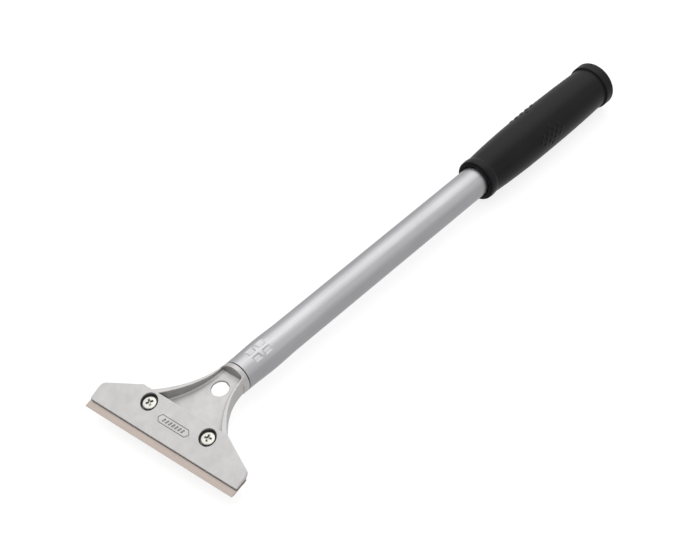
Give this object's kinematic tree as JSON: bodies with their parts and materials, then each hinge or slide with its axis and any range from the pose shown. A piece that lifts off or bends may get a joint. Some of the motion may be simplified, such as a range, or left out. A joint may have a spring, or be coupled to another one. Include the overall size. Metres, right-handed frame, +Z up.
{
  "type": "long-handled blade scraper",
  "caption": "Long-handled scraper with a wide steel blade clamped under a screwed plate on a cast head, an aluminium tube handle and a rubber grip.",
  "frame": {"origin": "centre of the bounding box on the plane that the grip's belly rests on; the handle's axis runs 13.7 mm above it", "axes": "+X along the blade, +Y along the handle from the blade to the grip, +Z up, away from the sole and towards the clamp plate"},
  "size_m": [0.1, 0.3754, 0.0274],
  "materials": {
    "casting": "satin silver-grey coat over a die casting, faint blasted grain",
    "blade_steel": "rolled steel with a warm tint and fine grinding lines",
    "screw_steel": "bright nickel plate",
    "tube_aluminium": "satin anodised, drawn tube with faint lengthwise streaks",
    "grip_rubber": "moulded black rubber, soft sheen"
  },
  "bodies": {
    "handle": {"head": "casting", "handle_tube": "tube_aluminium", "grip": "grip_rubber"},
    "clamp": {"clamp_plate": "casting"},
    "screw_left": {"screw_left": "screw_steel"},
    "screw_right": {"screw_right": "screw_steel"},
    "blade": {"blade": "blade_steel"}
  },
  "joints": [
    {"name": "clamp_lift", "type": "slide", "parent": "handle", "child": "clamp", "axis": [0, -0.2924, 0.9563], "range_m": [0, 0.0021]},
    {"name": "screw_left_turn", "type": "hinge", "parent": "clamp", "child": "screw_left", "pos_m": [-0.0199, -0.17111, 0.01723], "axis": [0, -0.2924, 0.9563], "range_deg": [0, 1080]},
    {"name": "screw_right_turn", "type": "hinge", "parent": "clamp", "child": "screw_right", "pos_m": [0.0199, -0.17111, 0.01723], "axis": [0, -0.2924, 0.9563], "range_deg": [0, 1080]},
    {"name": "blade_slide", "type": "slide", "parent": "handle", "child": "blade", "axis": [0, -0.9563, -0.2924], "range_m": [0, 0.005]}
  ],
  "couplings": [
    {"joint": "screw_left_turn", "follows": "clamp_lift", "rad_per_m": 8976},
    {"joint": "screw_right_turn", "follows": "clamp_lift", "rad_per_m": 8976}
  ]
}
